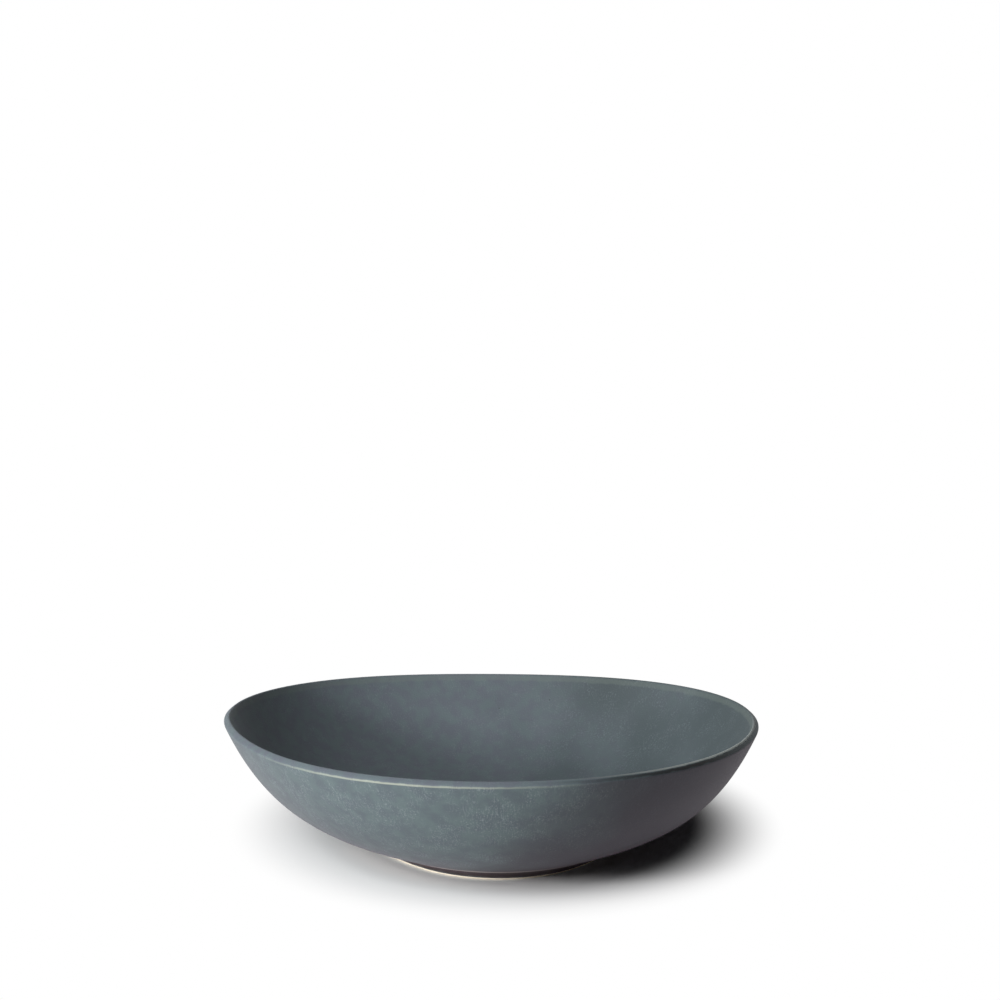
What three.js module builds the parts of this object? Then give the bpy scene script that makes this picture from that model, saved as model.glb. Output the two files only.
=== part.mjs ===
import * as THREE from 'three';

// A stoneware deep plate: one thrown clay body on a turned foot ring, with a liner glaze inside and over
// the lip, an outer glaze on the wall, and a glaze in the well under the foot. Nothing on it moves.
// Its plan is a soft three-sided pebble and not a circle.
// Millimetres, +Z up. It stands on z = 0, with the middle of its outline over the origin.

// Clay body, before it is glazed and its edges are rounded
const HEIGHT = 53.6;
const RIM_DIAMETER = 224.6;
const LIP_THICKNESS = 2.35;
const LIP_RISE = 0.6;
const LIP_ROUNDING = 0.5;
const WALL_THICKNESS = 6.5;
const FLOOR_THICKNESS = 5;

// Outside of the wall: the angles at which it leaves the foot and reaches the lip, in degrees from level,
// and the distance over which it holds to each angle before it bends
const WALL_ANGLE_AT_FOOT = 21.5;
const WALL_ANGLE_AT_LIP = 64.7;
const WALL_HOLD_AT_FOOT = 15.5;
const WALL_HOLD_AT_LIP = 41.7;

// Foot: an edge where the wall ends, a hollow bevel under it, and a ring with a shallow well inside
const FOOT_EDGE_DIAMETER = 117.4;
const FOOT_EDGE_HEIGHT = 5.9;
const FOOT_DIAMETER = 99;
const FOOT_RING_WIDTH = 7.5;
const FOOT_ROUNDING = 0.6;
const BEVEL_HOLLOW = 0.7;
const BARE_EDGE_HEIGHT = 1;
const WELL_DEPTH = 2.6;
const WELL_FILLET = 1.5;

// Glaze, the same on every face
const GLAZE_THICKNESS = 0.4;

// Pebble plan: lobes that swell the round plan, each a count, a height and the direction of one lobe
const RIM_LOBES = [
  { count: 2, height: 1.95, degrees: -42 },
  { count: 3, height: 4.1, degrees: 28.5 },
  { count: 4, height: 1.75, degrees: -42 },
];
const FOOT_LOBES = [
  { count: 3, height: 4.1, degrees: 32.5 },
];
const FOOT_OFFSET = 2.6;

// Facets
const SIDES = 54;
const WALL_STEPS = 8;
const FLOOR_STEPS = 5;
const BEVEL_STEPS = 3;
const ROUNDING_STEPS = 2;

const rimRadius = RIM_DIAMETER / 2;
const footEdgeRadius = FOOT_EDGE_DIAMETER / 2;
const footRadius = FOOT_DIAMETER / 2;
const wellRadius = footRadius - FOOT_RING_WIDTH;

// A point or a direction in the profile, drawn as if the plate were round.
function profilePoint(radius, height) {
  return new THREE.Vector2(radius, height);
}

function climbing(degrees) {
  const angle = THREE.MathUtils.degToRad(degrees);
  return profilePoint(Math.cos(angle), Math.sin(angle));
}

// A quarter turn to the left. Along the profile the clay is on the left and the air on the right.
function leftOf(direction) {
  return profilePoint(-direction.y, direction.x);
}

function along(start, direction, distance) {
  return start.clone().addScaledVector(direction, distance);
}

function directionTo(start, end) {
  return end.clone().sub(start).normalize();
}

// A corner eased by a small round, from one of its sides to the other.
function rounded(before, corner, after, size) {
  const start = along(corner, directionTo(corner, before), size);
  const end = along(corner, directionTo(corner, after), size);
  return new THREE.QuadraticBezierCurve(start, corner, end).getPoints(ROUNDING_STEPS);
}

// The lip is cut across the wall, with its crest on the inside.
const wallAtFoot = climbing(WALL_ANGLE_AT_FOOT);
const wallAtLip = climbing(WALL_ANGLE_AT_LIP);
const acrossLip = leftOf(wallAtLip);
const lipEdgeHeight = HEIGHT - LIP_THICKNESS * acrossLip.y - LIP_RISE * wallAtLip.y;
const lipEdge = profilePoint(rimRadius, lipEdgeHeight);
const lipInside = along(lipEdge, acrossLip, LIP_THICKNESS);
const crest = along(lipInside, wallAtLip, LIP_RISE);

const footEdge = profilePoint(footEdgeRadius, FOOT_EDGE_HEIGHT);
const wallOutside = new THREE.CubicBezierCurve(
  footEdge,
  along(footEdge, wallAtFoot, WALL_HOLD_AT_FOOT),
  along(lipEdge, wallAtLip, -WALL_HOLD_AT_LIP),
  lipEdge,
);

// The inside of the wall follows the outside, at a thickness that eases from the foot to the lip.
function wallInside(share) {
  const thickness = THREE.MathUtils.lerp(WALL_THICKNESS, LIP_THICKNESS, share);
  const inwards = leftOf(wallOutside.getTangent(share));
  return along(wallOutside.getPoint(share), inwards, thickness);
}

// The floor runs on from the inside of the wall and levels out in the middle.
function floorCurve() {
  const middle = profilePoint(0, WELL_DEPTH + FLOOR_THICKNESS);
  const wallFoot = wallInside(0);
  const slope = wallAtFoot.y / wallAtFoot.x;
  const bend = profilePoint(wallFoot.x - (wallFoot.y - middle.y) / slope, middle.y);
  return new THREE.QuadraticBezierCurve(wallFoot, bend, middle);
}

function bevelCurve(bareTop) {
  const inwards = leftOf(directionTo(bareTop, footEdge));
  const bend = along(bareTop.clone().lerp(footEdge, 0.5), inwards, 2 * BEVEL_HOLLOW);
  return new THREE.QuadraticBezierCurve(bareTop, bend, footEdge);
}

// The clay's profile in four stretches, each of which starts where the last one ends: the well, the bare
// foot ring, the outside up to the lip edge, and the inside from there down to the middle of the floor.
function clayStretches() {
  const wellMiddle = profilePoint(0, WELL_DEPTH);
  const wellCorner = profilePoint(wellRadius, WELL_DEPTH);
  const bareInside = profilePoint(wellRadius, BARE_EDGE_HEIGHT);
  const ringInside = profilePoint(wellRadius, 0);
  const ringOutside = profilePoint(footRadius, 0);
  const bareOutside = profilePoint(footRadius, BARE_EDGE_HEIGHT);

  const wall = wallOutside.getPoints(WALL_STEPS).slice(0, -1);
  const bowl = wall.map((_, step) => wallInside(step / WALL_STEPS)).reverse();
  const edgeRound = rounded(wall.at(-1), lipEdge, crest, LIP_ROUNDING);
  const crestRound = rounded(lipEdge, crest, lipInside, LIP_ROUNDING);
  const topOfEdge = ROUNDING_STEPS / 2;

  const well = [
    wellMiddle,
    ...rounded(wellMiddle, wellCorner, bareInside, WELL_FILLET),
    bareInside,
  ];
  const footRing = [
    bareInside,
    ...rounded(bareInside, ringInside, ringOutside, FOOT_ROUNDING),
    ...rounded(ringInside, ringOutside, bareOutside, FOOT_ROUNDING),
    bareOutside,
  ];
  const outside = [
    bareOutside,
    ...bevelCurve(bareOutside).getPoints(BEVEL_STEPS).slice(1, -1),
    ...wall,
    ...edgeRound.slice(0, topOfEdge + 1),
  ];
  const inside = [
    ...edgeRound.slice(topOfEdge),
    ...crestRound,
    ...bowl,
    ...floorCurve().getPoints(FLOOR_STEPS).slice(1),
  ];
  return { well, footRing, outside, inside };
}

function joined(stretches) {
  return stretches.flatMap((stretch, index) => stretch.slice(index === 0 ? 0 : 1));
}

// The clay's profile set out by the glaze. At an edge it moves halfway between the two faces, so the coat
// is thinner there, as glaze is on a sharp edge.
function glazedProfile(profile) {
  const last = profile.length - 1;
  return profile.map((here, index) => {
    const before = profile[Math.max(index - 1, 0)];
    const after = profile[Math.min(index + 1, last)];
    const heading = directionTo(before, here).add(directionTo(here, after)).normalize();
    const surface = along(here, leftOf(heading), -GLAZE_THICKNESS);
    surface.x = here.x === 0 ? 0 : surface.x;
    return surface;
  });
}

// A coat of glaze seated on one stretch of the clay: a profile that closes on itself or on the axis.
function coatProfile(clay, glaze, stretch) {
  const first = clay.indexOf(stretch[0]);
  const seat = clay.slice(first, first + stretch.length).reverse();
  const surface = glaze.slice(first, first + stretch.length);
  if (seat[0].x === 0) {
    return [...seat, ...surface];
  }
  const coat = [...surface, ...seat];
  return surface[0].x === 0 ? coat : [...coat, surface[0]];
}

function lobeHeight(lobes, angle) {
  return lobes.reduce((sum, lobe) => {
    const fromLobe = angle - THREE.MathUtils.degToRad(lobe.degrees);
    return sum + lobe.height * Math.cos(lobe.count * fromLobe);
  }, 0);
}

// Bends round rings to the pebble plan, which changes evenly from the foot's outline to the rim's.
function bendToPebble(positions) {
  for (let index = 0; index < positions.count; index++) {
    const radius = Math.hypot(positions.getX(index), positions.getY(index));
    const angle = Math.atan2(positions.getY(index), positions.getX(index));
    const towardsRim = (radius - footEdgeRadius) / (rimRadius - footEdgeRadius);
    const share = THREE.MathUtils.clamp(towardsRim, 0, 1);
    const footLobes = lobeHeight(FOOT_LOBES, angle) * Math.min(radius / footEdgeRadius, 1);
    const rimLobes = lobeHeight(RIM_LOBES, angle);
    const bent = radius + THREE.MathUtils.lerp(footLobes, rimLobes, share);
    const offset = FOOT_OFFSET * (1 - share);
    positions.setXY(index, offset + bent * Math.cos(angle), bent * Math.sin(angle));
  }
}

// Two triangles for each step of the profile and each side. The diagonal always rises the same way, so a
// coat's seat has the very facets of the clay under it.
function facets(profile) {
  const count = profile.length;
  const triangles = [];
  for (let side = 0; side < SIDES; side++) {
    for (let step = 0; step < count - 1; step++) {
      const climb = profile[step + 1].y - profile[step].y;
      const spread = profile[step + 1].x - profile[step].x;
      const a = step + side * count;
      const b = a + count;
      const c = b + 1;
      const d = a + 1;
      const rising = climb > 0 || (climb === 0 && spread > 0);
      triangles.push(...(rising ? [a, b, d, c, d, b] : [a, b, c, a, c, d]));
    }
  }
  return triangles;
}

function turned(name, profile, material) {
  const geometry = new THREE.LatheGeometry(profile, SIDES);
  geometry.rotateX(Math.PI / 2);
  geometry.setIndex(facets(profile));
  bendToPebble(geometry.getAttribute('position'));
  geometry.computeVertexNormals();
  const mesh = new THREE.Mesh(geometry, material);
  mesh.name = name;
  return mesh;
}

const bareStoneware = new THREE.MeshStandardMaterial({ color: '#e6d6bd', roughness: 0.85, metalness: 0 });
const linerGlaze = new THREE.MeshStandardMaterial({ color: '#5f686d', roughness: 0.42, metalness: 0 });
const outerGlaze = new THREE.MeshStandardMaterial({ color: '#6c7a81', roughness: 0.48, metalness: 0 });
const wellGlaze = new THREE.MeshStandardMaterial({ color: '#66737a', roughness: 0.48, metalness: 0 });

const { well, footRing, outside, inside } = clayStretches();
const clay = joined([well, footRing, outside, inside]);
const glaze = glazedProfile(clay);

const plate = new THREE.Group();
plate.add(
  turned('clay_body', clay, bareStoneware),
  turned('inner_glaze', coatProfile(clay, glaze, inside), linerGlaze),
  turned('outer_glaze', coatProfile(clay, glaze, outside), outerGlaze),
  turned('base_glaze', coatProfile(clay, glaze, well), wellGlaze),
);

// The lobes are uneven, so the middle of the finished outline is brought over the origin.
const middle = new THREE.Box3().setFromObject(plate).getCenter(new THREE.Vector3());
plate.position.set(-middle.x, -middle.y, 0);

export default plate;
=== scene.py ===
# %% [markdown]
# # A stoneware deep plate
# The plate is one thrown clay body under three coats of glaze, and its plan is a soft three-sided
# pebble. This lesson draws the clay's section once, sets the coats on it, and turns every section to
# the same pebble plan with one Geometry Nodes tree. Then come the finishes, and last the floor, the
# light and the camera. Sizes on the plate are in millimetres and angles in degrees, and the stage
# around it is in metres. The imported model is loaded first. It fixes the sizes, and nothing in it is
# moved.

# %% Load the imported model
from math import cos, pi, radians, sin, tan

import bpy
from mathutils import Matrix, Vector
from mathutils.geometry import interpolate_bezier


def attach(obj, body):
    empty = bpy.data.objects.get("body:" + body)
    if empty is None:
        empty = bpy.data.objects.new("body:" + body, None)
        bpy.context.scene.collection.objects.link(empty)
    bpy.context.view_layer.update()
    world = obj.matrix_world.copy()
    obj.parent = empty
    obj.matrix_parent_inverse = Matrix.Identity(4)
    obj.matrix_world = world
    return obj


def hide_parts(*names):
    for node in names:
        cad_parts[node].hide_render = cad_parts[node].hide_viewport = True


MM = 0.001

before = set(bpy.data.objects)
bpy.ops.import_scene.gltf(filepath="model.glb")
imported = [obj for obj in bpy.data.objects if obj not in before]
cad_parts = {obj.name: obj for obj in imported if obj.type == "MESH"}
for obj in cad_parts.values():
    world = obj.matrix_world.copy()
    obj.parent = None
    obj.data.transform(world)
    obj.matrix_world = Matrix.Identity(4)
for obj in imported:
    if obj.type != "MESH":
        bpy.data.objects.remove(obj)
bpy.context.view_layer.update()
scene = bpy.context.scene

# %% [markdown]
# ## The wall
# A potter knows a plate by its section. A section could be typed as a long list of points. Here each
# stretch is a curve between a few real corners, in millimetres, so that every point can be traced back
# to a size. It is drawn as if the plate were round. The wall leaves the edge of the foot at a low angle
# and steepens to the lip. Along the section the clay is on the left and the air on the right.

# %% Draw the wall
HEIGHT = 53.6
RIM_DIAMETER = 224.6
LIP_THICKNESS = 2.35
LIP_RISE = 0.6
FOOT_EDGE_DIAMETER = 117.4
FOOT_EDGE_HEIGHT = 5.9
WALL_ANGLE_AT_FOOT = 21.5
WALL_ANGLE_AT_LIP = 64.7
WALL_HOLD_AT_FOOT = 15.5
WALL_HOLD_AT_LIP = 41.7
WALL_STEPS = 40


def climbing(degrees):
    """The direction outwards that climbs at this angle."""
    angle = radians(degrees)
    return Vector((cos(angle), sin(angle)))


def left_of(direction):
    """The direction a quarter turn to the left."""
    return Vector((-direction.y, direction.x))


rim_radius = RIM_DIAMETER / 2
foot_edge_radius = FOOT_EDGE_DIAMETER / 2
wall_at_foot = climbing(WALL_ANGLE_AT_FOOT)
wall_at_lip = climbing(WALL_ANGLE_AT_LIP)
across_lip = left_of(wall_at_lip)
lip_edge = Vector((rim_radius, HEIGHT - LIP_THICKNESS * across_lip.y - LIP_RISE * wall_at_lip.y))
foot_edge = Vector((foot_edge_radius, FOOT_EDGE_HEIGHT))
wall = interpolate_bezier(
    foot_edge,
    foot_edge + wall_at_foot * WALL_HOLD_AT_FOOT,
    lip_edge - wall_at_lip * WALL_HOLD_AT_LIP,
    lip_edge,
    WALL_STEPS + 1,
)
print(f"wall: from {foot_edge.x:.1f}, {foot_edge.y:.1f} to {lip_edge.x:.1f}, {lip_edge.y:.1f} mm")

# %% [markdown]
# ## The bowl
# The inside follows the outside, but clay is left thicker low down, where it carries the plate. A copy
# of the wall scaled down would get thinner and thicker by chance. So each point of the wall is set in
# by a thickness that changes evenly from foot to lip. Then the bowl bends into its flat floor.

# %% Hollow the bowl
WALL_THICKNESS = 6.5
FLOOR_THICKNESS = 5
WELL_DEPTH = 2.6
FLOOR_STEPS = 28


def headings(points):
    """The direction of travel at each point, halfway between the steps before and after it."""
    ends = [points[0], *points, points[-1]]
    return [((here - ends[i]).normalized() + (ends[i + 2] - here).normalized()).normalized()
            for i, here in enumerate(points)]


def bend(start, corner, end, steps):
    """A curve that leaves start and reaches end along two straight lines that cross at the corner."""
    return interpolate_bezier(start, start.lerp(corner, 2 / 3), end.lerp(corner, 2 / 3), end, steps + 1)


bowl = []
for step, (here, heading) in enumerate(zip(wall, headings(wall))):
    thickness = WALL_THICKNESS + (LIP_THICKNESS - WALL_THICKNESS) * step / WALL_STEPS
    bowl.append(here + left_of(heading) * thickness)
floor_middle = Vector((0, WELL_DEPTH + FLOOR_THICKNESS))
floor_reach = (bowl[0].y - floor_middle.y) / tan(radians(WALL_ANGLE_AT_FOOT))
floor_bend = Vector((bowl[0].x - floor_reach, floor_middle.y))
bowl_floor = bend(bowl[0], floor_bend, floor_middle, FLOOR_STEPS)
print(f"bowl: {HEIGHT - floor_middle.y:.1f} mm deep, its floor bends up at {floor_bend.x:.1f} mm")

# %% [markdown]
# ## The lip
# The lip was cut square to the wall, so its face slants outwards, and both its edges were eased with a
# sponge. A Bevel modifier could ease them on the mesh. Easing them in the section keeps the two edges
# exactly where the glaze will later turn pale.

# %% Ease the lip
LIP_ROUNDING = 0.5
ROUNDING_STEPS = 6


def eased(before, corner, after, size):
    """A corner made round, from this far before it to this far after it."""
    start = corner + (before - corner).normalized() * size
    end = corner + (after - corner).normalized() * size
    return bend(start, corner, end, ROUNDING_STEPS)


lip_inside = lip_edge + across_lip * LIP_THICKNESS
crest = lip_inside + wall_at_lip * LIP_RISE
lip_edge_round = eased(wall[-2], lip_edge, crest, LIP_ROUNDING)
crest_round = eased(lip_edge, crest, lip_inside, LIP_ROUNDING)
half_round = ROUNDING_STEPS // 2
print(f"lip: {(crest - lip_edge).length:.2f} mm across, its crest {crest.y - lip_edge.y:.2f} mm higher")

# %% [markdown]
# ## The foot
# The wall ends below in an edge, and from there a slightly hollow bevel runs in to a narrow ring, the
# only part that touches the table. Inside the ring a shallow well is trimmed out, so that the plate
# stands on a ring and doesn't rock. The lowest millimetre of the ring is wiped clean of glaze.

# %% Draw the foot
FOOT_EDGE_ROUNDING = 0.35
FOOT_DIAMETER = 99
FOOT_RING_WIDTH = 7.5
FOOT_ROUNDING = 0.6
BARE_EDGE_HEIGHT = 1
BEVEL_HOLLOW = 0.7
BEVEL_STEPS = 14
WELL_FILLET = 1.5

foot_radius = FOOT_DIAMETER / 2
well_radius = foot_radius - FOOT_RING_WIDTH
well_middle = Vector((0, WELL_DEPTH))
well_corner = Vector((well_radius, WELL_DEPTH))
bare_inside = Vector((well_radius, BARE_EDGE_HEIGHT))
ring_inside = Vector((well_radius, 0))
ring_outside = Vector((foot_radius, 0))
bare_outside = Vector((foot_radius, BARE_EDGE_HEIGHT))

bevel_inwards = left_of((foot_edge - bare_outside).normalized())
bevel_bend = bare_outside.lerp(foot_edge, 0.5) + bevel_inwards * 2 * BEVEL_HOLLOW
bevel = bend(bare_outside, bevel_bend, foot_edge, BEVEL_STEPS)
foot_edge_round = eased(bevel[-2], foot_edge, wall[1], FOOT_EDGE_ROUNDING)
well_fillet = eased(well_middle, well_corner, bare_inside, WELL_FILLET)
print(f"foot: a ring {2 * well_radius:.0f} to {2 * foot_radius:.0f} mm across")

# %% [markdown]
# ## The whole section
# Now the stretches are joined, from the middle of the well, round the foot, up the outside, over the
# lip and down to the middle of the bowl. Beside the bare foot a few points stand close together,
# because there the glaze will end in a small round bead.

# %% Join the section
GLAZE_THICKNESS = 0.4
BEAD_SHARES = (0.04, 0.15, 0.35, 0.65, 1)
WELL_STEPS = 10


def bead_points(edge, towards):
    """Points from a wiped edge on, close enough to draw a bead as wide as the glaze is thick."""
    return [edge + (towards - edge).normalized() * GLAZE_THICKNESS * part for part in BEAD_SHARES]


well = [
    *(well_middle.lerp(well_fillet[0], step / WELL_STEPS) for step in range(WELL_STEPS)),
    *well_fillet[:half_round + 2],
    *reversed(bead_points(bare_inside, well_corner)),
]
foot_ring = [
    bare_inside,
    *eased(bare_inside, ring_inside, ring_outside, FOOT_ROUNDING),
    *eased(ring_inside, ring_outside, bare_outside, FOOT_ROUNDING),
    bare_outside,
]
outside = [
    *bead_points(bare_outside, bevel[1]),
    *bevel[1:-1],
    *foot_edge_round,
    *wall[1:-1],
    *lip_edge_round[:half_round],
]
inside = [*lip_edge_round[half_round:], *crest_round, *reversed(bowl[1:-1]), *bowl_floor]
clay = [*well, *foot_ring, *outside, *inside]
shortest = min((end - start).length for start, end in zip(clay, clay[1:]))
print(f"section of the clay: {len(clay)} points, shortest step {shortest:.3f} mm")

# %% [markdown]
# ## Places along the clay
# Glaze changes colour on an edge, so the finishes need to know where the edges are. Each point keeps
# how far it lies from the lip's outer edge, along the clay: more than zero down the outside, less than
# zero inside.

# %% Measure along the clay
travelled = [0]
for start, end in zip(clay, clay[1:]):
    travelled.append(travelled[-1] + (end - start).length)
lip_joint = clay.index(lip_edge_round[half_round])
along = [travelled[lip_joint] - distance for distance in travelled]
crest_at = along[clay.index(crest_round[half_round])]
foot_edge_at = along[clay.index(foot_edge_round[half_round])]
inner_wiped, outer_wiped = clay.index(bare_inside), clay.index(bare_outside)
wiped_at = [along[inner_wiped], along[outer_wiped]]
print(f"along the clay: crest {crest_at:.2f}, foot edge {foot_edge_at:.2f}, wiped {wiped_at[1]:.2f} mm")

# %% [markdown]
# ## The coats of glaze
# Glaze is a skin of glass about 0.4 mm thick that the kiln melts onto the clay. A Solidify modifier
# could thicken a copy of the clay's surface, but where the foot was wiped the glaze draws itself into a
# bead. So each coat has a section of its own: its surface, set out from the clay, and back along the
# clay it sits on.

# %% Set the coats on the clay
def glaze_thickness(place):
    """Full thickness, but for the round that surface tension gives a wiped edge."""
    reach = min(min(abs(place - edge) for edge in wiped_at) / GLAZE_THICKNESS, 1)
    return GLAZE_THICKNESS * (1 - (1 - reach) ** 2) ** 0.5


glaze = []
for here, heading, place in zip(clay, headings(clay), along):
    surface = here - left_of(heading) * glaze_thickness(place)
    # A point on the axis stays on it, so that the coat closes in the middle
    glaze.append(Vector((0, surface.y)) if here.x == 0 else surface)


def coat(first, last):
    """A section that closes on itself or on the axis, as pairs of a point and its place along the clay."""
    surface = list(zip(glaze, along))[first:last + 1]
    seat = list(zip(clay, along))[last:first - 1 if first else None:-1]
    return [*seat, *surface] if seat[0][0].x == 0 else [*surface, *seat]


sections = {
    "stoneware_body": list(zip(clay, along)),
    "liner_coat": coat(lip_joint, len(clay) - 1),
    "outer_coat": coat(outer_wiped, lip_joint),
    "well_coat": coat(0, inner_wiped),
}
print("points:", {name: len(section) for name, section in sections.items()})

# %% [markdown]
# ## The pebble plan
# A wheel makes a round plate, and this one was then pressed to a soft triangle. Seen from above, its
# rim is a circle with a few low waves round it, and its foot is a smaller pebble, set a little to one
# side. The waves are uneven, so the middle of the outline is found here, to stand the plate over the
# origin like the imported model.

# %% Find the middle of the outline
# Each kind of wave: how many lobes round the plate, their height, and the direction of one in degrees
RIM_LOBES = [(2, 1.95, -42), (3, 4.1, 28.5), (4, 1.75, -42)]
FOOT_LOBES = [(3, 4.1, 32.5)]
FOOT_OFFSET = 2.6
SIDES = 320

widest = max(point.x for point in glaze)
outline = []
for number in range(SIDES):
    turn = 2 * pi * number / SIDES
    waves = [height * cos(count * (turn - radians(degrees))) for count, height, degrees in RIM_LOBES]
    outline.append(Vector((cos(turn), sin(turn))) * (widest + sum(waves)))
middle = Vector([(min(axis) + max(axis)) / 2 for axis in zip(*outline)])
print(f"middle of the outline: {middle.x:.2f}, {middle.y:.2f} mm from the wheel's axis")

# %% [markdown]
# ## Nodes, added one way
# Geometry trees and shader trees are built alike: a node, its settings, and what goes into its sockets.
# One small function does that for both. A socket takes a value, or another node or socket to link from
# it. The first tree is the one that turns a section to the pebble plan. It begins with its named
# inputs.


# %% Name the turning tree's inputs
def add(tree, kind, inputs=(), **settings):
    """Adds a node. Inputs are a list in the order of its sockets, or are named by them.

    A node can have a socket of one name for each type of data, and only the enabled one is meant.
    """
    made = tree.nodes.new(kind)
    for name, value in settings.items():
        setattr(made, name, value)
    for name, value in inputs.items() if isinstance(inputs, dict) else enumerate(inputs):
        socket = made.inputs[name] if isinstance(name, int) else next(
            candidate for candidate in made.inputs if candidate.enabled and candidate.name == name)
        if isinstance(value, bpy.types.Node):
            value = next(output for output in value.outputs if output.enabled)
        if isinstance(value, bpy.types.NodeSocket):
            tree.links.new(value, socket)
        else:
            socket.default_value = value
    return made


sizes = {
    "Rim radius": rim_radius * MM,
    "Foot edge radius": foot_edge_radius * MM,
    "Foot offset": FOOT_OFFSET * MM,
    "Middle x": middle.x * MM,
    "Middle y": middle.y * MM,
}
for ring, lobes in (("Rim", RIM_LOBES), ("Foot", FOOT_LOBES)):
    for count, height, degrees in lobes:
        sizes[f"{ring} {count}-lobe height"] = height * MM
        sizes[f"{ring} {count}-lobe turn"] = radians(degrees)

turning = bpy.data.node_groups.new("pebble_turning", "GeometryNodeTree")
kinds = {"Section": "Geometry", "Sides": "Int", **dict.fromkeys(sizes, "Float"), "Finish": "Material"}
sockets = {}
for name, kind in kinds.items():
    made = turning.interface.new_socket(name=name, in_out="INPUT", socket_type="NodeSocket" + kind)
    sockets[name] = made.identifier
turning.interface.new_socket(name="Plate", in_out="OUTPUT", socket_type="NodeSocketGeometry")
print("inputs of the turning tree:", list(sockets))

# %% [markdown]
# ## A grid to bend
# A Screw modifier would turn a round plate, and the waves would need another step. The tree does both
# at once. It lays a flat grid with one column for each side of the plate and one row for each point of
# the section. The number of a vertex says its column and its row, and these give its angle and its
# point of the section.

# %% Lay the grid
given = add(turning, "NodeGroupInput").outputs
rows = add(turning, "GeometryNodeAttributeDomainSize", {"Geometry": given["Section"]}, component="MESH")
columns = add(turning, "ShaderNodeMath", [given["Sides"], 1], operation="ADD")
grid = add(turning, "GeometryNodeMeshGrid", {"Vertices X": columns, "Vertices Y": rows})

index = add(turning, "GeometryNodeInputIndex")
row = add(turning, "ShaderNodeMath", [index, rows], operation="MODULO")
before = add(turning, "ShaderNodeMath", [index, row], operation="SUBTRACT")
column = add(turning, "ShaderNodeMath", [before, rows], operation="DIVIDE")
share_of_turn = add(turning, "ShaderNodeMath", [column, given["Sides"]], operation="DIVIDE")
angle = add(turning, "ShaderNodeMath", [share_of_turn, 2 * pi], operation="MULTIPLY")
way_x = add(turning, "ShaderNodeMath", [angle], operation="COSINE")
way_y = add(turning, "ShaderNodeMath", [angle], operation="SINE")
way_out = add(turning, "ShaderNodeCombineXYZ", [way_x, way_y])

position = add(turning, "GeometryNodeInputPosition")
drawn = add(turning, "GeometryNodeSampleIndex", {
    "Geometry": given["Section"], "Value": position, "Index": row}, data_type="FLOAT_VECTOR")
kept = add(turning, "GeometryNodeInputNamedAttribute", {"Name": "along"}, data_type="FLOAT")
place = add(turning, "GeometryNodeSampleIndex", {
    "Geometry": given["Section"], "Value": kept, "Index": row}, data_type="FLOAT")
print("grid and section:", len(turning.nodes), "nodes")

# %% [markdown]
# ## The rule of the plan
# Each ring of the round plate swells by its waves. From the foot's edge to the rim the waves change
# evenly from the foot's to the rim's, and the foot's offset runs out. Clay and coats obey the same
# rule, so every coat lies on the clay all round.

# %% Swell the rings
def swelling(ring, lobes):
    """The height that the waves of a ring add at each angle."""
    total = 0
    for count, _, _ in lobes:
        turn, height = given[f"{ring} {count}-lobe turn"], given[f"{ring} {count}-lobe height"]
        turned_back = add(turning, "ShaderNodeMath", [angle, turn], operation="SUBTRACT")
        phase = add(turning, "ShaderNodeMath", [turned_back, count], operation="MULTIPLY")
        wave = add(turning, "ShaderNodeMath", [phase], operation="COSINE")
        total = add(turning, "ShaderNodeMath", [wave, height, total], operation="MULTIPLY_ADD")
    return total


section = add(turning, "ShaderNodeSeparateXYZ", [drawn]).outputs
radius, height = section["X"], section["Z"]
from_foot = {"Value": radius, "From Min": given["Foot edge radius"], "From Max": given["Rim radius"]}
towards_rim = add(turning, "ShaderNodeMapRange", from_foot)
offset = add(turning, "ShaderNodeMapRange", {**from_foot, "To Min": given["Foot offset"], "To Max": 0})
# Inside the foot's edge the waves die away towards the middle
to_foot = add(turning, "ShaderNodeMapRange", {"Value": radius, "From Max": given["Foot edge radius"]})
foot_swell = add(turning, "ShaderNodeMath", [swelling("Foot", FOOT_LOBES), to_foot], operation="MULTIPLY")
swell = add(turning, "ShaderNodeMix", {
    "Factor": towards_rim, "A": foot_swell, "B": swelling("Rim", RIM_LOBES)}, data_type="FLOAT")
bent = add(turning, "ShaderNodeMath", [radius, swell], operation="ADD")

shift_x = add(turning, "ShaderNodeMath", [offset, given["Middle x"]], operation="SUBTRACT")
shift_y = add(turning, "ShaderNodeMath", [given["Middle y"], -1], operation="MULTIPLY")
shift = add(turning, "ShaderNodeCombineXYZ", [shift_x, shift_y, height])
bent_place = add(turning, "ShaderNodeVectorMath", [way_out, bent, shift], operation="MULTIPLY_ADD")
print("with the rule of the plan:", len(turning.nodes), "nodes")

# %% [markdown]
# ## A skin from the grid
# The grid is moved to its places. Its first and last column meet, and at the axis a whole row meets in
# a point, so doubles are merged. The skin shades smooth except at real corners. Two attributes stay on
# it for the finishes: the place along the clay, and coordinates that run round the rim and straight
# down the wall.

# %% Finish the skin
MERGE_DISTANCE = 0.002
SHARP_CORNER = 50

down = add(turning, "ShaderNodeMath", [place, MM], operation="MULTIPLY")
down = add(turning, "ShaderNodeCombineXYZ", {"Z": down})
down_wall = add(turning, "ShaderNodeVectorMath", [
    way_out, given["Rim radius"], down], operation="MULTIPLY_ADD")
edge_angle = add(turning, "GeometryNodeInputMeshEdgeAngle")
gentle = add(turning, "ShaderNodeMath", [edge_angle, radians(SHARP_CORNER)], operation="LESS_THAN")

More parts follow.
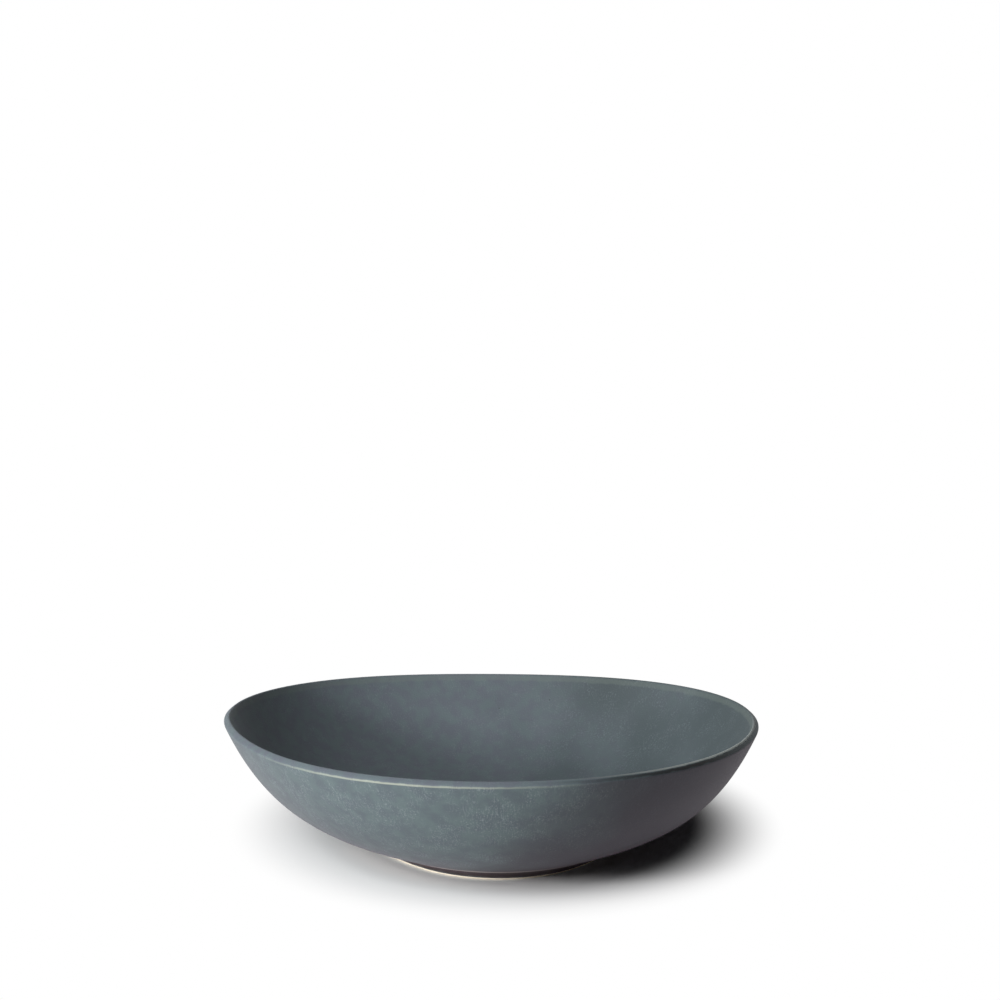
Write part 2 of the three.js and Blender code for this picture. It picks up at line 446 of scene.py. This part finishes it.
skin = add(turning, "GeometryNodeSetPosition", {"Geometry": grid, "Position": bent_place})
skin = add(turning, "GeometryNodeStoreNamedAttribute", {
    "Geometry": skin, "Name": "along", "Value": place}, data_type="FLOAT", domain="POINT")
skin = add(turning, "GeometryNodeStoreNamedAttribute", {
    "Geometry": skin, "Name": "down_wall", "Value": down_wall}, data_type="FLOAT_VECTOR", domain="POINT")
skin = add(turning, "GeometryNodeMergeByDistance", {"Geometry": skin, "Distance": MERGE_DISTANCE * MM})
skin = add(turning, "GeometryNodeSetShadeSmooth", {"Geometry": skin}, domain="FACE")
skin = add(turning, "GeometryNodeSetShadeSmooth", {"Geometry": skin, "Shade Smooth": gentle}, domain="EDGE")
skin = add(turning, "GeometryNodeRealizeInstances", {"Geometry": skin})
skin = add(turning, "GeometryNodeSetMaterial", {"Geometry": skin, "Material": given["Finish"]})
add(turning, "NodeGroupOutput", {"Plate": skin})
print("turning tree:", len(turning.nodes), "nodes")

# %% [markdown]
# ## Colours, sizes and shares
# All finishes are begun alike. Colours are written as the hex values of a paint chart and turned to the
# linear light that shaders use. A pattern's scale could be found by trying numbers, but here it comes
# from a real size. A pattern is then cut by a soft step, so that it covers only its share of the surface.

# %% Begin the finishes
WHITE = "#ffffff"


def paint(hex_colour):
    """An opaque colour in linear light, by the curve of the sRGB standard."""
    channels = [int(hex_colour[i:i + 2], 16) / 255 for i in (1, 3, 5)]
    return [c / 12.92 if c <= 0.04045 else ((c + 0.055) / 1.055) ** 2.4 for c in channels] + [1]


def per_mm(size):
    """The scale of a pattern whose features are this many millimetres apart."""
    return 1 / (size * MM)


def new_finish(name):
    """An empty material, and the tree that its nodes go into."""
    finish = bpy.data.materials.new(name)
    finish.use_nodes = True
    finish.node_tree.nodes.clear()
    return finish, finish.node_tree


def share(tree, pattern, low, high):
    """Where a pattern goes from low to high, as a soft step from 0 to 1."""
    return add(tree, "ShaderNodeMapRange", {
        "Value": pattern, "From Min": low, "From Max": high}, interpolation_type="SMOOTHSTEP")


print("white in linear light:", paint(WHITE))

# %% [markdown]
# ## Stoneware
# Where the foot was wiped, the bare clay shows: a cream stoneware fired hard, matt, with a fine sandy
# grain and a few iron specks. It could be one flat cream, but the line at the foot is the one pale
# thing on a dark plate, so the grain and the specks are drawn at their own sizes.

# %% Bare stoneware
# Real grains are mostly finer than this and would not show, so they are drawn coarser
STONEWARE_GRAIN = 0.45
STONEWARE_GRAIN_HEIGHT = 0.04
STONEWARE_GRAIN_DETAIL = 3
STONEWARE_SPECK_SPACING = 2.2
STONEWARE_SPECK_RADIUS = 0.35
STONEWARE_CREAMS = ("#eadfc9", "#f8f0df")
STONEWARE_SPECK_COLOUR = "#8a6f50"
STONEWARE_ROUGHNESS = 0.85
CERAMIC_IOR = 1.5

# Fired clay scatters light from every grain, so it is matt from all sides
fired_stoneware, tree = new_finish("fired_stoneware")
here = add(tree, "ShaderNodeTexCoord").outputs["Object"]
grain = add(tree, "ShaderNodeTexNoise", {
    "Vector": here, "Scale": per_mm(STONEWARE_GRAIN), "Detail": STONEWARE_GRAIN_DETAIL})
specks = add(tree, "ShaderNodeTexVoronoi", {"Vector": here, "Scale": per_mm(STONEWARE_SPECK_SPACING)})
speck_edge = STONEWARE_SPECK_RADIUS / STONEWARE_SPECK_SPACING
speck = share(tree, specks.outputs["Distance"], speck_edge, speck_edge / 2)
dark_cream, light_cream = [paint(cream) for cream in STONEWARE_CREAMS]
sandy = add(tree, "ShaderNodeMix", {
    "Factor": grain, "A": dark_cream, "B": light_cream}, data_type="RGBA")
specked = add(tree, "ShaderNodeMix", {
    "Factor": speck, "A": sandy, "B": paint(STONEWARE_SPECK_COLOUR)}, data_type="RGBA")
sanded = add(tree, "ShaderNodeBump", {"Height": grain, "Distance": STONEWARE_GRAIN_HEIGHT * MM})
shader = add(tree, "ShaderNodeBsdfPrincipled", {
    "Base Color": specked, "Roughness": STONEWARE_ROUGHNESS, "IOR": CERAMIC_IOR, "Normal": sanded})
add(tree, "ShaderNodeOutputMaterial", {"Surface": shader})
print("finish:", fired_stoneware.name, len(tree.nodes), "nodes")

# %% [markdown]
# ## Patterns in the glaze
# The glaze is a satin-matt stoneware glaze. In the kiln it parts into clouds of blue and green, grows
# pale crystals in loose clusters, runs a little down the wall in short streaks, and leaves a few pits.
# One colour with some noise would look like paint. Each of these is instead its own pattern, with its
# size in millimetres and a soft step that says how much of the noise belongs to it.

# %% Patterns in the glaze
STREAK_WIDTH = 0.5
STREAK_LENGTH = 2.4
PIT_SPACING = 9
PIT_RADIUS = 0.3
PATTERNS = {
    "drift": dict(size=60, detail=2, step=(-0.2, 1.2)),
    "cloud": dict(size=5, detail=3, step=(0.35, 0.65)),
    "cluster": dict(size=9, detail=2, step=(0.34, 0.66)),
    "crystal": dict(size=0.7, detail=2, step=(0.5, 0.74)),
    "streak": dict(size=STREAK_WIDTH, detail=1, step=(0.52, 0.76)),
}


def glaze_patterns(tree):
    """Each pattern as the share of it at every spot, from 0 to 1."""
    here = add(tree, "ShaderNodeTexCoord").outputs["Object"]
    round_and_down = add(tree, "ShaderNodeAttribute", attribute_name="down_wall").outputs["Vector"]
    stretched = add(tree, "ShaderNodeMapping", {
        "Vector": round_and_down, "Scale": (1, 1, STREAK_WIDTH / STREAK_LENGTH)})
    pits = add(tree, "ShaderNodeTexVoronoi", {"Vector": here, "Scale": per_mm(PIT_SPACING)})
    pit_edge = PIT_RADIUS / PIT_SPACING
    patterns = {"pit": share(tree, pits.outputs["Distance"], pit_edge, pit_edge / 2)}
    for name, facts in PATTERNS.items():
        noise = add(tree, "ShaderNodeTexNoise", {
            "Vector": stretched if name == "streak" else here,
            "Scale": per_mm(facts["size"]), "Detail": facts["detail"]})
        patterns[name] = share(tree, noise, *facts["step"])
    return patterns


print("patterns, mm:", {name: facts["size"] for name, facts in PATTERNS.items()})

# %% [markdown]
# ## Bands on the edges
# On an edge the glaze draws away and turns pale. Other bands are painted light and shade: a painted
# highlight where an edge faces the lamps, and painted shade where it faces away or lies under the wall.
# That could be painted by hand on the mesh. Here it is a band that lies at a place along the clay, and
# fades out over half its width to each side. A little of the clouds keeps it from being ruled straight.
# Round the plate a band is strongest around one spot, as seen from above, and from there it fades within
# its reach. For a painted highlight or painted shade, that spot lies on the side that the lamps light or
# leave dark.

# %% Bands on the edges
BAND_WAVE = 0.25
BAND_CORE = 1 / 3


def band_share(tree, band, place, from_above, cloud):
    """How strongly a band covers each spot of the glaze."""
    wave = band["half_width"] * BAND_WAVE
    wavy = add(tree, "ShaderNodeMath", [cloud, wave, place], operation="MULTIPLY_ADD")
    apart = add(tree, "ShaderNodeMath", [wavy, band["at"] + wave / 2], operation="SUBTRACT")
    apart = add(tree, "ShaderNodeMath", [apart], operation="ABSOLUTE")
    line = share(tree, apart, band["half_width"], band["half_width"] * BAND_CORE)
    # For a painted highlight or painted shade, this spot follows the lamps
    strongest = Vector((*band["around"], 0)) * MM
    aside = add(tree, "ShaderNodeVectorMath", [from_above, strongest], operation="DISTANCE")
    fading = share(tree, aside.outputs["Value"], band["reach"] * MM, 0)
    shown = add(tree, "ShaderNodeMath", [line, fading], operation="MULTIPLY")
    return add(tree, "ShaderNodeMath", [shown, band["most"]], operation="MULTIPLY")


print("a band is full within", round(BAND_CORE, 2), "of its half width")

# %% [markdown]
# ## Layers of colour
# Colour is built in layers: clouds of two close colours, a drift of darker glaze that grows down the
# wall and towards the right, where it is painted shade, then pale crystals and streaks, dark pits, and
# last the bands on the edges, some of them painted highlights and painted shade. One Color Ramp could
# hold all these colours, but only along a single pattern. As layers, each with its own share of the
# surface, they lie over each other as the real ones do.

# %% Layer the colours
DRIFT_WANDER = 0.7
DRIFT_STEP = (0.4, 0.8)
PIT_COLOUR = "#3a3e42"


def colour_layers(tree, pattern, cloud, drifted, leans, crystal, grown, grown_in_drift, bands):
    """The colours from the lowest layer up, each with the share of the surface that it covers.

    The drift grows by so much for each metre to the right, which paints shade on the right side, and for
    each millimetre down the wall. Crystals and streaks cover at most the shares in grown, and in the drift
    only a part of that.
    """
    place = add(tree, "ShaderNodeAttribute", attribute_name="along").outputs["Fac"]
    spot = add(tree, "ShaderNodeTexCoord").outputs["Object"]
    from_above = add(tree, "ShaderNodeVectorMath", [spot, (1, 1, 0)], operation="MULTIPLY")
    across = add(tree, "ShaderNodeSeparateXYZ", [spot]).outputs["X"]

    drift = add(tree, "ShaderNodeMath", [pattern["drift"], DRIFT_WANDER], operation="MULTIPLY")
    # The drift grows towards the right as painted shade on that side of the plate
    drift = add(tree, "ShaderNodeMath", [across, leans[0], drift], operation="MULTIPLY_ADD")
    drift = add(tree, "ShaderNodeMath", [place, leans[1], drift], operation="MULTIPLY_ADD")
    drift = share(tree, drift, *DRIFT_STEP)
    layers = [(pattern["cloud"], cloud), (drift, drifted)]
    thick = add(tree, "ShaderNodeMapRange", {"Value": drift, "To Min": 1, "To Max": grown_in_drift})
    thick = add(tree, "ShaderNodeMath", [thick, pattern["cluster"]], operation="MULTIPLY")
    for kind, most in grown.items():
        part = add(tree, "ShaderNodeMath", [pattern[kind], thick], operation="MULTIPLY")
        layers.append((add(tree, "ShaderNodeMath", [part, most], operation="MULTIPLY"), crystal))
    layers.append((pattern["pit"], PIT_COLOUR))
    for band in bands:
        layers.append((band_share(tree, band, place, from_above, pattern["cloud"]), band["colour"]))
    return layers


print("the drift shows from", DRIFT_STEP[0], "and is full from", DRIFT_STEP[1])

# %% [markdown]
# ## Satin glaze
# Fine crystals in the glaze scatter the light, so the sheen is soft and weak, neither matt like the clay
# nor shiny like window glass. Outside they also catch light at a flat angle, as a faint purple haze low on
# the wall. A paint colour could not do that, because the haze depends on how the surface is seen.

# %% Build the glaze
RELIEF = 0.03
ROUGHNESS = 0.6
SPECULAR_LEVEL = 0.15
HAZE_ROUGHNESS = 0.4
HAZE_COLOUR = "#f0c8dc"


def satin_glaze(name, clouds, haze=0, **facts):
    """A satin-matt glaze: to the eye a smooth, deep colour with broad, weak highlights."""
    finish, tree = new_finish(name)
    pattern = glaze_patterns(tree)
    colour = paint(clouds[0])
    for part, layer_colour in colour_layers(tree, pattern, clouds[1], **facts):
        colour = add(tree, "ShaderNodeMix", {
            "Factor": part, "A": colour, "B": paint(layer_colour)}, data_type="RGBA")
    # Crystals stand up from the skin, and pits sink into it
    relief = add(tree, "ShaderNodeMath", [pattern["crystal"], pattern["pit"]], operation="SUBTRACT")
    skin = add(tree, "ShaderNodeBump", {"Height": relief, "Distance": RELIEF * MM})
    shader = add(tree, "ShaderNodeBsdfPrincipled", {
        "Base Color": colour, "Normal": skin, "IOR": CERAMIC_IOR,
        "Roughness": ROUGHNESS, "Specular IOR Level": SPECULAR_LEVEL,
        "Sheen Weight": haze, "Sheen Roughness": HAZE_ROUGHNESS, "Sheen Tint": paint(HAZE_COLOUR)})
    add(tree, "ShaderNodeOutputMaterial", {"Surface": shader})
    print("finish:", name, len(tree.nodes), "nodes")
    return finish


print(f"crystals stand {RELIEF} mm out of the glaze")

# %% [markdown]
# ## The three coats
# One batch of glaze covers the plate, but it was poured inside and dipped outside, so the liner is
# smoother and the outside streaks more. It breaks to a pale line on the lip's outer edge and on the edge
# of the foot, and there a painted highlight is added that is strongest at the front left, towards the
# lamps. It pales a little all round inside the crest. On the crest at the right a pale line is a painted
# highlight. The lip's face at the right and the bevel under the edge of the foot are darkened as painted
# shade.

# %% Glaze the coats
ALL_ROUND = dict(around=(0, 0), reach=1000)
# Pale glaze on the lip's outer edge, with a painted highlight strongest at the front left, towards the
# lamps
LIP_BREAK_AND_HIGHLIGHT = dict(at=0.3, half_width=0.42, colour="#c9ccb8", most=0.41, around=(-38, -104), reach=86)
# Painted shade: the lip's face at the right, turned away from the lamps, is darkened almost to black
LIP_FACE_SHADE = dict(
    at=crest_at / 2 + 0.4, half_width=0.9, colour="#0c0d0e", most=1, around=(78, -76), reach=78)
# A painted highlight on the crest at the right, where its rounded top catches the light
CREST_HIGHLIGHT = dict(
    at=crest_at + 0.15, half_width=0.65, colour="#b9c0bd", most=0.85, around=(94, -56), reach=88)
INNER_EDGE = dict(at=crest_at - 1.6, half_width=1.8, colour="#6f7a72", most=0.25, **ALL_ROUND)
# Pale glaze on the edge of the foot, with a painted highlight that fades towards the shaded right
FOOT_BREAK_AND_HIGHLIGHT = dict(
    at=foot_edge_at - 1, half_width=3.4, colour="#c9beb9", most=1, around=(-45, -38), reach=120)
middle_of_bevel = (foot_edge_at + wiped_at[1]) / 2
# Painted shade on the bevel under the foot's edge, which lies under the overhanging wall
BEVEL_SHADE = dict(at=middle_of_bevel + 0.8, half_width=5.4, colour="#2c2423", most=0.92, **ALL_ROUND)

OUTER_CLOUDS = ("#5a6469", "#5f6c6e")
OUTER_DRIFT_AND_SHADE = "#47454c"
OUTER_CRYSTAL = "#8a9498"
finishes = {
    "stoneware_body": fired_stoneware,
    # In the liner and outside, the drift colour also serves as painted shade on the right side
    "liner_coat": satin_glaze(
        "satin_liner_glaze", clouds=("#5c626a", "#5d686c"), drifted="#444d50", leans=(5, 0),
        crystal="#737d82", grown={"crystal": 0.35, "streak": 0.15}, grown_in_drift=0.8,
        bands=[INNER_EDGE, LIP_FACE_SHADE, CREST_HIGHLIGHT, LIP_BREAK_AND_HIGHLIGHT]),
    "outer_coat": satin_glaze(
        "satin_outer_glaze", clouds=OUTER_CLOUDS, drifted=OUTER_DRIFT_AND_SHADE, leans=(4.9, 0.0036),
        crystal=OUTER_CRYSTAL, grown={"crystal": 0.5, "streak": 0.32}, grown_in_drift=0.1,
        bands=[LIP_BREAK_AND_HIGHLIGHT, BEVEL_SHADE, FOOT_BREAK_AND_HIGHLIGHT], haze=0.08),
    "well_coat": satin_glaze(
        "satin_well_glaze", clouds=OUTER_CLOUDS, drifted=OUTER_DRIFT_AND_SHADE, leans=(0, 0),
        crystal=OUTER_CRYSTAL, grown={"crystal": 0.48}, grown_in_drift=0.1, bands=[]),
}

# %% [markdown]
# ## The four pieces
# Each section becomes a thin chain of edges, and the turning tree sweeps it to a closed skin. The
# result is taken as a plain mesh and the modifier is removed, so that what is exported is what is seen.
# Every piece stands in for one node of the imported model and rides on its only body.

# %% Turn the pieces
replaced = {
    "stoneware_body": ("clay_body", "bare_stoneware"),
    "liner_coat": ("inner_glaze", "liner_glaze"),
    "outer_coat": ("outer_glaze", "outer_glaze"),
    "well_coat": ("base_glaze", "well_glaze"),
}


def turned(name, section, finish):
    """A piece swept from its section to the pebble plan, as a plain mesh."""
    chain = bpy.data.meshes.new(name + "_section")
    points = [(point.x * MM, 0, point.y * MM) for point, _ in section]
    chain.from_pydata(points, [(i, i + 1) for i in range(len(points) - 1)], [])
    places = chain.attributes.new("along", "FLOAT", "POINT").data
    places.foreach_set("value", [place for _, place in section])
    piece = bpy.data.objects.new(name, chain)
    scene.collection.objects.link(piece)
    modifier = piece.modifiers.new("pebble_turning", "NODES")
    modifier.node_group = turning
    for size, value in {"Sides": SIDES, **sizes, "Finish": finish}.items():
        modifier[sockets[size]] = value
    depsgraph = bpy.context.evaluated_depsgraph_get()
    mesh = bpy.data.meshes.new_from_object(
        piece.evaluated_get(depsgraph), preserve_all_data_layers=True, depsgraph=depsgraph)
    piece.modifiers.remove(modifier)
    mesh.materials.pop(index=0)  # the grid's own empty slot
    piece.data = mesh
    return piece


for name, (node, slot) in replaced.items():
    piece = turned(name, sections[name], finishes[name])
    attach(piece, "root")
    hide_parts(node)
    triangles = sum(len(face.vertices) - 2 for face in piece.data.polygons)
    print(f"{name}: {len(piece.data.vertices)} vertices, {triangles} triangles")

# %% [markdown]
# ## White paper
# The plate stands on white paper. A plain white plane would go grey away from the lamps. So close to
# the plate it is matt paper that takes the shadow, and further out it gives way to plain white, for the
# rays that only look at it. The border between them is a soft oval, longer from front to back than from
# side to side, and its middle lies a little behind the plate's.

# %% White paper
PAPER_COLOUR = "#f6f6f6"
PAPER_RADIUS = 79.5
WHITE_RADIUS = 121
PAPER_MIDDLE = Vector((7, 51, 0))
PAPER_OVAL = Vector((1, 0.73, 1))


def looking(tree):
    """1 for the rays of the camera and of reflections, 0 for the rays that carry light to the plate."""
    rays = add(tree, "ShaderNodeLightPath").outputs
    seen, shiny, through = rays["Is Camera Ray"], rays["Is Glossy Ray"], rays["Is Transmission Ray"]
    seen = add(tree, "ShaderNodeMath", [seen, shiny], operation="MAXIMUM")
    return add(tree, "ShaderNodeMath", [seen, through], operation="MAXIMUM")


paper, tree = new_finish("white_paper")
spot = add(tree, "ShaderNodeTexCoord").outputs["Object"]
oval = add(tree, "ShaderNodeVectorMath", [spot, PAPER_OVAL], operation="MULTIPLY")
middle_of_oval = PAPER_MIDDLE * PAPER_OVAL * MM
distance = add(tree, "ShaderNodeVectorMath", [oval, middle_of_oval], operation="DISTANCE")
far = share(tree, distance.outputs["Value"], PAPER_RADIUS * MM, WHITE_RADIUS * MM)
plain = add(tree, "ShaderNodeMath", [looking(tree), far], operation="MULTIPLY")
# Paper fibres scatter light evenly, so the paper looks as bright from every side and has no sheen
matt = add(tree, "ShaderNodeBsdfDiffuse", {"Color": paint(PAPER_COLOUR)})
white = add(tree, "ShaderNodeEmission", {"Color": paint(WHITE), "Strength": 1})
mixed = add(tree, "ShaderNodeMixShader", [plain, matt, white])
add(tree, "ShaderNodeOutputMaterial", {"Surface": mixed})
print("paper to", PAPER_RADIUS, "mm, white from", WHITE_RADIUS, "mm")

# %% [markdown]
# ## The floor
# The paper is one wide plane, a tenth of a millimetre below the foot, so that the two never share a
# face. It belongs to the stage and not to the plate.

# %% Lay the floor
FLOOR_HALF_SIDE = 8
FLOOR_DROP = 0.1

corners = [(x * FLOOR_HALF_SIDE, y * FLOOR_HALF_SIDE, -FLOOR_DROP * MM)
           for x, y in ((-1, -1), (1, -1), (1, 1), (-1, 1))]
ground = bpy.data.meshes.new("floor")
ground.from_pydata(corners, [], [(0, 1, 2, 3)])
ground.materials.append(paper)
floor = bpy.data.objects.new("floor", ground)
scene.collection.objects.link(floor)
print("floor laid,", 2 * FLOOR_HALF_SIDE, "m wide")

# %% [markdown]
# ## Light
# A small lamp stands low at the left in front. It draws the rim's shadow into the bowl and leaves the
# right of the wall dark. A wide lamp beside it and a high one above it soften that shadow, and a weak
# one overhead lights the bowl's floor. A lamp's level is the share of white that it gives to white
# paper facing it, so the colours render about as written.

# %% Light the plate
LAMP_DISTANCE = 1.6
LAMPS = {
    "key": dict(bearing=-54, climb=14, width=0.22, height=0.25, level=0.62),
    "wide": dict(bearing=-47, climb=18, width=1.0, height=0.4, level=0.3),
    "high": dict(bearing=-43, climb=35, width=0.9, height=0.7, level=0.56),
    "top": dict(bearing=12, climb=67, width=0.35, height=0.35, level=0.07),
}


def lamp(name, bearing, climb, width, height, level):
    """Bearing is counted from the camera's side, to the right, and climb from the floor, in degrees."""
    level_way = Vector((sin(radians(bearing)), -cos(radians(bearing)), 0))
    way = level_way * cos(radians(climb)) + Vector((0, 0, sin(radians(climb))))
    light = bpy.data.lights.new(name, "AREA")
    light.shape = "RECTANGLE"
    light.size = width
    light.size_y = height
    # White paper that faces a lamp of 1 W from 1 m away looks as bright as 1 / pi ** 2 of white
    light.energy = level * pi ** 2 * LAMP_DISTANCE ** 2
    made = bpy.data.objects.new(name, light)
    made.location = way * LAMP_DISTANCE
    made.rotation_euler = (-way).to_track_quat("-Z", "Y").to_euler()
    scene.collection.objects.link(made)
    return made


for name, facts in LAMPS.items():
    made = lamp(name, **facts)
    print(f"{name}: {made.data.energy:.1f} W, {made.data.size} by {made.data.size_y} m")

# %% [markdown]
# ## Surroundings
# Round the plate everything is white to the camera and in the glaze's sheen, but it sends no light of
# its own, or the dark side of the plate would fade.

# %% Whiten the surroundings
world = bpy.data.worlds.new("studio")
scene.world = world
world.use_nodes = True
tree = world.node_tree
tree.nodes.clear()
sky = add(tree, "ShaderNodeBackground", {"Color": paint(WHITE), "Strength": looking(tree)})
add(tree, "ShaderNodeOutputWorld", {"Surface": sky})
print("surroundings:", world.name)

# %% [markdown]
# ## Camera
# The camera stands a little more than a metre in front and looks down by about seven degrees. Its
# place, tilt and lens were fitted to the photograph's rim, sides and foot, from the middle of the rim's
# circle.

# %% Set the camera
CAMERA_PLACE = Vector((3.85, -1135.0, 288.1))
CAMERA_TILT = 7.12
CAMERA_LENS = 100
SENSOR_WIDTH = 36

view = bpy.data.cameras.new("camera")
view.lens = CAMERA_LENS
view.sensor_width = SENSOR_WIDTH
camera = bpy.data.objects.new("camera", view)
camera.location = (CAMERA_PLACE - middle.to_3d()) * MM
camera.rotation_euler = (radians(90 - CAMERA_TILT), 0, 0)
scene.collection.objects.link(camera)
scene.camera = camera
scene.view_settings.view_transform = "Standard"
print("camera at, m:", [round(value, 4) for value in camera.location])
